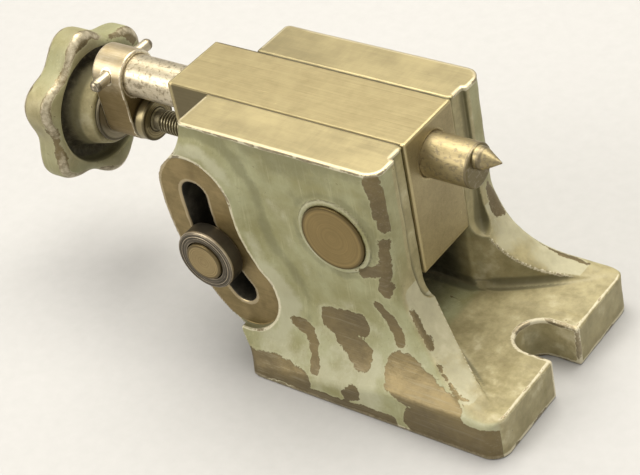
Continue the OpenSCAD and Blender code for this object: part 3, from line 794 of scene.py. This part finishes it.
        # painted shade: near-black on the clamp slot's inner walls
        slot_shade = m.mix(m.ramp(mid, 0.4, 0.7), (0.030, 0.027, 0.020), (0.095, 0.085, 0.060))
        oily = m.mix(m.ramp(m.sum(mid, m.mul(lay, 0.3)), 0.5, 0.9), (0.07, 0.066, 0.042),
                     (0.19, 0.175, 0.115))
        for mask, tint, shine, metallic in ((inner, oily, 0.42, 0.6), (under, oily, 0.5, 0.5),
                                            (wall, slot_shade, 0.6, 0.3), (face, brown, 0.36, 0.75),
                                            (top, plate, 0.38, 0.85)):
            colour = m.mix(mask, colour, tint)
            rough = m.blend(mask, rough, m.sum(m.mul(lay, 0.2), shine - 0.08))
            metal = m.blend(mask, metal, metallic)
            height = m.blend(mask, height, m.mul(lay, 0.16))
    normal = m.bump(height, 0.22, 0.8)
    return m.finish(colour, rough, metal, normal)


# ---------------------------------------------------------------- worn places on the casting
# each is a run of (x, z) points in mm and a half width, on the near side and then on the far side
NEAR_PATCHES = [
    ([(9.0, 108.0), (10.2, 97.0), (11.0, 86.5)], 2.5),
    ([(7.6, 107.0), (8.4, 101.0)], 2.0),
    ([(9.5, 79.0), (9.0, 68.0), (6.8, 54.0)], 2.1),
    ([(7.5, 66.5), (-1.5, 62.5)], 2.3),
    ([(-21.0, 33.5), (-8.0, 35.0)], 5.0),
    ([(-15.0, 29.0), (-4.5, 23.5)], 4.6),
    ([(-38.0, 27.5), (-32.5, 25.5), (-29.0, 21.0), (-27.5, 14.0)], 2.5),
    ([(-60.0, 5.0), (-46.0, 7.0), (-34.0, 6.0)], 5.2),
    ([(-34.0, 1.0), (10.0, 2.0)], 3.4),
    ([(-9.5, 8.0), (-6.5, 11.0)], 3.2),
    ([(26.0, 6.0), (60.0, 6.0)], 9.0),
    ([(13.0, 24.0), (38.0, 15.0)], 6.6),
    ([(3.0, 47.0), (10.0, 38.0), (12.0, 34.0)], 2.4),
]
FAR_PATCHES = [
    ([(9.0, 100.0), (10.0, 80.0)], 2.8),
    ([(-46.0, 24.0), (-30.0, 30.0)], 4.6),
    ([(-6.0, 28.0), (2.0, 20.0)], 4.4),
    ([(-60.0, 3.0), (-10.0, 2.0)], 4.4),
    ([(20.0, 5.0), (60.0, 6.0)], 8.0),
    ([(-60.0, 106.0), (-40.0, 108.5)], 1.6),
]
# on the webs in front of the cheeks, as (y, z) points
WEB_PATCHES = [
    ([(-35.0, 45.0), (-36.5, 36.0)], 3.0),
    ([(-40.5, 30.0), (-45.5, 22.5)], 1.5),
    ([(33.0, 60.0), (33.0, 50.0)], 4.4),
    ([(38.0, 42.0), (41.5, 28.0), (45.0, 22.0)], 1.5),
]


def patch_distance(points, patches, plane=(0, 2)):
    """Distance in that plane from the nearest worn place, negative inside it."""
    best = np.full(len(points), 40.0)
    flat = points[:, plane]
    for run, width in patches:
        for a, b in zip(run[:-1], run[1:]):
            a, b = np.array(a), np.array(b)
            t = unit(((flat - a) @ (b - a)) / ((b - a) @ (b - a)))
            gap = np.linalg.norm(flat - a - t[:, None] * (b - a), axis=1) - width
            best = np.minimum(best, gap)
    return np.clip(best, -12, 12)


def build_body():
    """The casting with its wear: chips, stains, khaki foot, dark dirty paint with painted shade low in
    the channel and the milled faces' edges; round the boss, a painted highlight and painted shade.
    """
    p, quads = surface(body_field, (-97.5, BODY_LOW[1], 0), (FRONT_X, BODY_HIGH[1], TOP), 0.8)
    n, layers = edge_and_hollow_layers(body_field, p, 2.0, 5.0)
    x, y, z = p[:, 0], np.abs(p[:, 1]), p[:, 2]
    arc = arc_distance(x, z) - BOSS_R
    about = np.hypot(x - PIVOT_X, z - PIVOT_Z)
    ring = about - HEAD_R
    layers["arc"] = arc
    # places where the paint is gone, on the sides and on the webs
    chip = np.where(p[:, 1] < 0, patch_distance(p, NEAR_PATCHES), patch_distance(p, FAR_PATCHES))
    chip = np.where((y > CHANNEL_Y + 9.5) & (np.abs(n[:, 1]) > 0.35), chip, 9.0)
    on_web = (x > CHEEK_FRONT) & (np.abs(n[:, 1]) < 0.5) & (n[:, 0] > 0.1)
    layers["chip"] = np.where(on_web, patch_distance(p, WEB_PATCHES, (1, 2)), chip)
    # dark and pale stains round the pivot, under the top edge and on the webs; round the boss, a pale
    # band of worn paint with a painted highlight on the swell's crest and a dark band of dirty paint
    # with painted shade in the valley beyond
    side_on = unit(2 * np.abs(n[:, 1]) - 0.4)
    ahead = np.maximum(unit((ARC_R + 3 - about) / 6), unit((z - 84) / 8))
    # painted light round the boss: a painted highlight, with worn paint, on the swell's crest; painted
    # shade, with dirty paint, in the valley beyond
    stain_and_shading = -1.1 * bell(arc, 4.8, 3.0) * ahead * (0.75 + 0.6 * lattice(p, 8.0, 10))
    stain_and_shading += 0.8 * bell(arc, 13.5, 2.6) * ahead
    stain_and_shading += 0.6 * bell(ring, 4.4, 1.6) - 0.8 * bell(ring, 1.9, 0.7)
    stain_and_shading += 0.75 * unit((z - TOP + 7.5) / 5) - 0.35 * unit((48 - z) / 15)
    stain_and_shading += 0.55 * lattice(p, 16.0, 8) + 0.45 * lattice(p, 6.0, 9)
    webs = (1 - side_on) * (x > CHEEK_FRONT + 1) * (z > FOOT_Z + 1.5)
    layers["stain_and_shading"] = stain_and_shading * side_on + webs * (-0.75 + 0.9 * lattice(p, 9.0, 11))
    # darker on the walls facing into the channel and on the foot's front end faces
    inward = (n[:, 1] * np.sign(p[:, 1]) < -0.3) & (z < TOP - 30) & (np.abs(arc) > 0.5)
    layers["stain_and_shading"] += 0.45 * inward * (arc > 0) + 0.35 * (n[:, 0] > 0.9) * (x > FRONT_X - 12)
    # khaki where the paint is rubbed thin: the foot, the inner walls and the milled ledges
    khaki = unit((x - CHEEK_FRONT + 1.5) / 3) * unit(2.0 - 2.6 * np.abs(n[:, 1]))
    khaki *= np.clip((74 - z) / 14, 0.25, 1)
    khaki = np.where(inward & ((arc > 0) | (x > 0)), 1.0, khaki)
    ledge = (x > CHEEK_FRONT - 4.5) & (z > 43) & (y < CHANNEL_Y + 10.5)
    layers["khaki"] = np.where(ledge & (n[:, 0] > 0.4), 0.85, khaki)
    edge = layers["edge"] * np.where(ledge & (z < TOP - 1.5), 0.12, 0.85)
    edge *= np.where(ring < 4, 0.45, 1) * np.where((arc > -1) & (arc < 2), 0.75, 1)
    layers["edge"] = np.where((y < CHANNEL_Y + 2.0) & (z > TOP - 2.0), 0, edge)
    # near-black low in the channel's corners under the block: dirty paint with painted shade
    grime_and_shade = 0.7 * unit((CHANNEL_Y + 4 - y) / 4) * unit((CHEEK_FRONT - 8 - x) / 12)
    layers["grime_and_shade"] = grime_and_shade * (z < 24)
    layers["seam"] = ((y < CHANNEL_Y + 0.45) & (z > TOP - 1.2)).astype(float)
    # only the rough cast skin is uneven
    cast = (np.abs(z - TOP) > 0.8) & (z > 0.9) & (y > CHANNEL_Y + 0.4) & (ring > 0.6)
    cast &= ~((arc < 0.3) & (np.abs(y - BOSS_Y) < 0.5)) & (arc > -11.2)
    lift = lattice(p, 14.0, 1) * 0.22 + lattice(p, 5.0, 2) * 0.12 + lattice(p, 2.2, 3) * 0.04
    sunk = lift - 0.2 - 0.5 * layers["edge"] * unit(lattice(p, 6.0, 4))
    return mesh_object("cast_body", p + n * np.where(cast, sunk, 0)[:, None], quads, layers)


body = build_body()
paint_body = painted("old_sage_paint", {"body": True, "ragged": 5.0, "rub": 0.44, "bright": 0.4})
stand_for(body, "body", "green_painted_casting", paint_body)


def build_knob():
    """The knob: paint left on its sides, lobes rubbed bright, and a dark rough dish."""
    p, quads = surface(knob_field, (KNOB_LOW[0], -37, SCREW_Z - 37),
                       (KNOB_HIGH[0], 37, SCREW_Z + 37), 0.75)
    n, layers = edge_and_hollow_layers(knob_field, p, 2.2, 6.0)
    y, z = p[:, 1], p[:, 2] - SCREW_Z
    q = np.hypot(y, z)
    turn = np.degrees(np.arctan2(z, y))
    lobe = 0.5 + 0.5 * np.cos(np.radians(6 * (turn - 33)))
    corner = 2 * np.abs(n[:, 0]) * np.hypot(n[:, 1], n[:, 2])
    low_share = np.where((turn > 75) & (turn < 200), 0.68, 0.35)
    rubbed = corner ** 1.5 * (low_share + (1 - low_share) * lobe)
    layers["edge"] = np.where(q > 26.5, rubbed, 0.15 * layers["edge"])
    layers["grime_and_shade"] = unit((25.8 - q) / 1.6) * unit((RIM_X - 1.2 - p[:, 0]) / 1.5)
    layers["grime_and_shade"] *= unit((q - 17.5) / 1.6)
    layers["khaki"] = np.where(q < 20.5, 0.9, unit(0.45 + 0.8 * lattice(p, 13.0, 12)))
    layers["hollow"] = np.where(q > 26.5, 0.22 + 0.25 * unit(lattice(p, 10.0, 14)),
                                layers["hollow"])
    chip = np.full(len(p), 9.0)
    for middle_turn, half, inner, outer in ((186, 17, 28.5, 33.0), (38, 9, 29.0, 36.0),
                                            (96, 11, 30.5, 34.0)):
        gap = np.abs((turn - middle_turn + 180) % 360 - 180) - half
        band = np.maximum(inner - q, q - outer)
        chip = np.minimum(chip, np.maximum(np.maximum(gap * 0.5, band), (RIM_X - 3.5 - p[:, 0])))
    layers["chip"] = chip
    lift = lattice(p, 9.0, 5) * 0.13 + lattice(p, 3.5, 6) * 0.07
    return mesh_object("cast_star_knob", p + n * lift[:, None], quads, layers)


knob = build_knob()
paint_knob = painted("worn_knob_paint", {"ragged": 5.0, "rub": 0.72, "bright": 0.95})
stand_for(knob, "star_knob", "green_painted_casting", paint_knob)

# ---------------------------------------------------------------- metals
block_metal = steel("milled_block_iron", GOLD_GREY, (0.26, 0.215, 0.115), rough=0.36, stain_and_shading=0.55,
                    line=0.4, metal=0.85, edge_gain=0.42, length=20.0, bright=1.4)
quill_metal = steel("ground_quill_steel", (0.74, 0.69, 0.56), (0.43, 0.36, 0.24), rough=0.27,
                    stain_and_shading=0.75, line=0.3, pits=0.85, length=9.0,
                    tint=(0, 2.0, 16.0, (0.47, 0.385, 0.20), 0.9),
                    dark_end_face=(0, QUILL_FRONT, (0.205, 0.170, 0.085)))
yoke_metal = steel("ground_yoke_steel", (0.71, 0.655, 0.53), (0.38, 0.30, 0.17), rough=0.30,
                   length=8.0, tint=(2, QUILL_Z + 4.0, QUILL_Z - 6.0, (0.30, 0.215, 0.085), 0.85))
bright_metal = steel("bright_pin_steel", (0.72, 0.68, 0.58), (0.42, 0.36, 0.25), rough=0.26,
                     along=1, stain_and_shading=0.4)
thread_metal = steel("oily_thread_steel", (0.30, 0.27, 0.18), (0.13, 0.11, 0.07), rough=0.42,
                     along=1, stain_and_shading=0.4, edge_gain=0.7, bright=1.45)
nut_metal = steel("nut_steel", (0.42, 0.38, 0.30), (0.20, 0.175, 0.12), rough=0.36, along=1,
                  bright=1.5)
about_clamp = ((BOLT_X, 0, BOLT_Z), 1)
about_pivot = ((PIVOT_X, 0, PIVOT_Z), 1)
about_screw = ((0, 0, SCREW_Z), 0)
ring_metal = steel("dark_ring_steel", (0.150, 0.128, 0.095), (0.070, 0.060, 0.045), rough=0.36,
                   stain_and_shading=0.4, turned=about_clamp, line=0.5, bright=3.0, edge_gain=0.85)
head_metal = steel("turned_bolt_head", (0.43, 0.34, 0.175), (0.24, 0.18, 0.085), rough=0.33,
                   stain_and_shading=0.4, turned=about_clamp, line=0.45, bright=1.6)
disc_metal = steel("turned_pivot_head", (0.325, 0.240, 0.100), (0.225, 0.165, 0.070), rough=0.36,
                   stain_and_shading=0.35, turned=about_pivot, line=0.9, bright=2.1)
collar_metal = steel("turned_collar_steel", (0.52, 0.46, 0.29), (0.22, 0.18, 0.10), rough=0.3,
                     stain_and_shading=0.4, turned=about_screw, line=0.5)
washer_metal = steel("washer_steel", (0.40, 0.36, 0.27), (0.20, 0.17, 0.11), turned=about_screw,
                     line=0.5)
side_washer_metal = steel("side_washer_steel", (0.42, 0.39, 0.31), (0.20, 0.18, 0.13),
                          turned=about_pivot, line=0.5)
bush_metal = steel("bush_bronze", (0.60, 0.40, 0.16), (0.30, 0.19, 0.07), rough=0.32,
                   turned=about_screw, line=0.5)

# ---------------------------------------------------------------- pieces
def build_block():
    """The tilting block, with dark seams where it meets the channel."""
    p, quads = surface(block_field, BLOCK_LOW, BLOCK_HIGH, 0.8)
    _, layers = edge_and_hollow_layers(block_field, p, 1.0, 2.0)
    rim = np.abs(p[:, 1]) - BLOCK_HIGH[1]
    inside = (p[:, 0] < BLOCK_HIGH[0] - 1.6) & (p[:, 0] > BLOCK_LOW[0] + 1.6)
    layers["edge"] = np.where((rim > -1.6) & inside, 0, layers["edge"])
    layers["hollow"] = np.where((rim > -0.5) & inside, 1, layers["hollow"])
    return mesh_object("tilting_block", p, quads, layers)


stand_for(build_block(), "centre_block", "machined_iron", block_metal)

bar = lathe("quill_bar", [
    (YOKE_LOW[0], 0, 0), (YOKE_LOW[0], QUILL_R, 0.7),
    (QUILL_FRONT, QUILL_R, 0.9), (QUILL_FRONT, 0, 0)], "X", (0, QUILL_Z))
tip = lathe("quill_tip", [
    (QUILL_FRONT - 1, 0, 0), (QUILL_FRONT - 1, TIP_R, 0), (QUILL_FRONT + TIP_STRAIGHT, TIP_R, 0.5),
    (QUILL_HIGH[0] - 0.4, 0.28, 0.2), (QUILL_HIGH[0] - 0.15, 0, 0)], "X", (0, QUILL_Z + TIP_UP), 64)
quill = merge("ground_quill", weld(bar), weld(tip))
stand_for(quill, "quill", "ground_steel", quill_metal)

yoke = field_object("quill_yoke", yoke_field, YOKE_LOW, YOKE_HIGH, 0.55, 0.9, 2.0)
stand_for(yoke, "yoke", "machined_steel", yoke_metal)

pin = weld(lathe("cross_pin_bar", [
    (PIN_LOW[1], 0, 0), (PIN_LOW[1] + 0.2, 1.3, 0.5), (PIN_LOW[1] + 1.5, PIN_R, 1.0),
    (PIN_HIGH[1] - 1.5, PIN_R, 1.0), (PIN_HIGH[1] - 0.2, 1.3, 0.5), (PIN_HIGH[1], 0, 0)],
                 "Y", (PIN_X, PIN_Z), 48))
stand_for(pin, "cross_pin", "ground_steel", bright_metal)

COLLAR_LOW, COLLAR_HIGH = node_box("thrust_collar")
screw_parts = [
    weld(lathe("screw_journal", [(KNOB_LOW[0], 0, 0), (KNOB_LOW[0], 5.95, 0.4),
                                 (COLLAR_LOW[0], 5.95, 0.2),
                                 (COLLAR_LOW[0] + 0.1, 5.4, 0.1), (COLLAR_HIGH[0], 5.4, 0.2),
                                 (COLLAR_HIGH[0] + 0.1, 4.6, 0.2), (COLLAR_HIGH[0] + 4.4, 4.45, 0.3),
                                 (COLLAR_HIGH[0] + 4.8, 0, 0)], "X", (0, SCREW_Z), 72)),
    threaded("screw_thread", COLLAR_HIGH[0] + 3.6, SCREW_HIGH[0], FEED_THREAD_R, FEED_PITCH, "X",
             (0, SCREW_Z), 0.5),
    threaded("screw_end_thread", SCREW_LOW[0], KNOB_LOW[0] + 0.5, FEED_THREAD_R, FEED_PITCH, "X",
             (0, SCREW_Z)),
]
screw = merge("feed_screw_threaded", *screw_parts)
stand_for(screw, "feed_screw", "dark_steel", thread_metal)


# plain rings: name, CAD node, axis, centre, bore radius, corner radius, slot and material
for name, node, axis, centre, bore, corner, slot, material in (
        ("turned_collar", "thrust_collar", "X", (0, SCREW_Z), 5.52, 0.7, "machined_steel", collar_metal),
        ("thrust_ring", "thrust_washer", "X", (0, SCREW_Z), 6.2, 0.5, "machined_steel", washer_metal),
        ("knob_ring", "knob_washer", "X", (0, SCREW_Z), 5.2, 0.4, "machined_steel", washer_metal),
        ("pivot_ring", "pivot_washer", "Y", (PIVOT_X, PIVOT_Z), 7.2, 0.5, "machined_steel",
         side_washer_metal),
        ("clamp_far_ring", "clamp_washer", "Y", (BOLT_X, BOLT_Z), 6.1, 0.5, "machined_steel",
         head_metal),
        ("block_bush", "feed_bush", "X", (0, SCREW_Z), 5.03, 0.4, "bronze", bush_metal)):
    low, high = node_box(node)
    k = 0 if axis == "X" else 1
    outer = (high[2] - low[2]) / 2
    a, b = low[k], high[k]
    piece = lathe(name, [(a, bore, 0), (a, outer, corner), (b, outer, corner), (b, bore, 0),
                         (a, bore, 0)], axis, centre)
    stand_for(weld(piece), node, slot, material)

for node, name in (("collar_pin", "collar_cross_pin"), ("knob_key", "knob_square_key")):
    frame["nodes"][node].data.materials.clear()
    frame["nodes"][node].data.materials.append(bright_metal)

# the clamp: a thick dark ring with two turned lines, and the round bolt head let into it
RING_LOW, RING_HIGH = node_box("clamp_ring")
near, back, ring_r = RING_LOW[1], RING_HIGH[1], (RING_HIGH[2] - RING_LOW[2]) / 2
clamp = lathe("clamp_thick_ring", [
    (back, 6.1, 0), (back, ring_r, 0.6, 0.3), (near + 0.6, ring_r, 0.3, 0.9),
    (near, ring_r - 0.6, 0.2, 0.35), (near, ring_r - 1.5, 0.1, 0.0),
    (near + 0.25, ring_r - 1.7, 0.08, 0.0), (near, ring_r - 1.9, 0.1, 0.8),
    (near, ring_r - 2.6, 0.1, 0.0), (near + 0.2, ring_r - 2.8, 0.08, 0.0),
    (near, ring_r - 3.0, 0.1, 0.3), (near, 8.9, 0.25, 0.35), (near + 3.0, 8.7, 0.2),
    (near + 3.0, 6.1, 0), (back, 6.1, 0)], "Y", (BOLT_X, BOLT_Z))
stand_for(weld(clamp), "clamp_ring", "dark_steel", ring_metal)

BOLT_LOW, BOLT_HIGH = node_box("clamp_bolt")
bolt_end = node_box("clamp_nut")[1][1] - 1
head = BOLT_LOW[1]
bolt = merge(
    "clamp_bolt_turned",
    weld(lathe("bolt_shank", [
        (head, 0, 0), (head, 8.45, 0.7), (head + 4.0, 8.45, 0.3), (head + 4.05, 5.98, 0.2),
        (bolt_end, 5.98, 0), (bolt_end, 0, 0)], "Y", (BOLT_X, BOLT_Z))),
    threaded("bolt_thread", bolt_end - 0.6, BOLT_HIGH[1], 5.97, BOLT_PITCH, "Y", (BOLT_X, BOLT_Z)))
stand_for(bolt, "clamp_bolt", "machined_steel", head_metal)

PIVOT_LOW, PIVOT_HIGH = node_box("pivot_pin")
pin_end = node_box("pivot_nut")[1][1] - 1
head = PIVOT_LOW[1]
pivot = merge(
    "pivot_pin_turned",
    weld(lathe("pivot_shank", [
        (head, 0, 0), (head, HEAD_R - 0.05, 0.5), (head + 5.9, HEAD_R - 0.05, 0.3),
        (head + 5.95, 7.95, 0.2), (CHEEK_Y + 0.8, 7.95, 0.3), (CHEEK_Y + 0.85, 6.95, 0),
        (pin_end, 6.95, 0), (pin_end, 0, 0)], "Y", (PIVOT_X, PIVOT_Z))),
    threaded("pivot_thread", pin_end - 0.6, PIVOT_HIGH[1], 6.95, BOLT_PITCH, "Y", (PIVOT_X, PIVOT_Z)))
stand_for(pivot, "pivot_pin", "machined_steel", disc_metal)

for node, name, axis, centre, bore in (
        ("clamp_nut", "clamp_hex_nut", "Y", (BOLT_X, BOLT_Z), 6.02),
        ("pivot_nut", "pivot_hex_nut", "Y", (PIVOT_X, PIVOT_Z), 7.02),
        ("knob_nut", "knob_hex_nut", "X", (0.0, SCREW_Z), 5.02)):
    low, high = node_box(node)
    k = 0 if axis == "X" else 1
    flats = min(high[i] - low[i] for i in range(3) if i != k)
    field = nut_field(axis, centre, low[k], high[k], flats, bore)
    stand_for(field_object(name, field, low, high, 0.4, 0.8, 1.5), node, "dark_steel", nut_metal)

# ---------------------------------------------------------------- floor, light and camera
floor_mesh = bpy.data.meshes.new("floor")
FLOOR_HALF = 4.0
floor_corners = [(a * FLOOR_HALF, b * FLOOR_HALF, 0) for a, b in ((-1, -1), (1, -1), (1, 1), (-1, 1))]
floor_mesh.from_pydata(floor_corners, [], [(0, 1, 2, 3)])
floor = bpy.data.objects.new("floor", floor_mesh)
bpy.context.scene.collection.objects.link(floor)
floor_mat = Nodes("pale_floor")
grain = floor_mat.noise(6.0, 4.0, 0.6)
floor_mesh.materials.append(floor_mat.finish(
    floor_mat.mix(grain, (0.40, 0.40, 0.41), (0.45, 0.45, 0.46)), 0.75, 0.0,
    floor_mat.bump(grain, 0.1, 0.3)))


def area(name, place, target, size, power, tint):
    """A soft rectangular lamp aimed at a target."""
    lamp = bpy.data.lights.new(name, "AREA")
    lamp.shape = "RECTANGLE"
    lamp.size, lamp.size_y = size
    lamp.energy = power
    lamp.color = tint
    ob = bpy.data.objects.new(name, lamp)
    bpy.context.scene.collection.objects.link(ob)
    ob.location = place
    ob.rotation_euler = (Vector(target) - Vector(place)).to_track_quat("-Z", "Y").to_euler()


area("overhead", (-0.15, 0.35, 1.25), (0, 0, 0.05), (1.3, 0.9), 27.0, (1.0, 0.955, 0.84))
area("window", (-0.75, -1.05, 0.85), (0, 0, 0.05), (0.9, 0.8), 13.5, (1.0, 0.955, 0.86))
area("fill", (1.2, -0.25, 0.6), (0, 0, 0.06), (0.8, 0.8), 3.2, (1.0, 0.97, 0.92))
world = bpy.data.worlds.new("studio")
bpy.context.scene.world = world
world.use_nodes = True
world.node_tree.nodes["Background"].inputs[0].default_value = (0.94, 0.90, 0.82, 1)
world.node_tree.nodes["Background"].inputs[1].default_value = 0.62
bpy.context.scene.view_settings.view_transform = "Standard"

camera = bpy.data.objects.new("camera", bpy.data.cameras.new("camera"))
bpy.context.scene.collection.objects.link(camera)
turn, rise, roll = (math.radians(a) for a in (42.556, 37.079, -11.886))
back_way = Vector((math.sin(turn) * math.cos(rise), -math.cos(turn) * math.cos(rise), math.sin(rise)))
right = Vector((math.cos(turn), math.sin(turn), 0))
up = back_way.cross(right)
right, up = right * math.cos(roll) + up * math.sin(roll), up * math.cos(roll) - right * math.sin(roll)
facing = Matrix((right, up, back_way)).transposed().to_4x4()
camera.matrix_world = Matrix.Translation((0.36780, -0.45924, 0.50691)) @ facing
camera.data.sensor_width = 36.0
camera.data.lens = 106.63
camera.data.clip_start = 0.01
bpy.context.scene.camera = camera
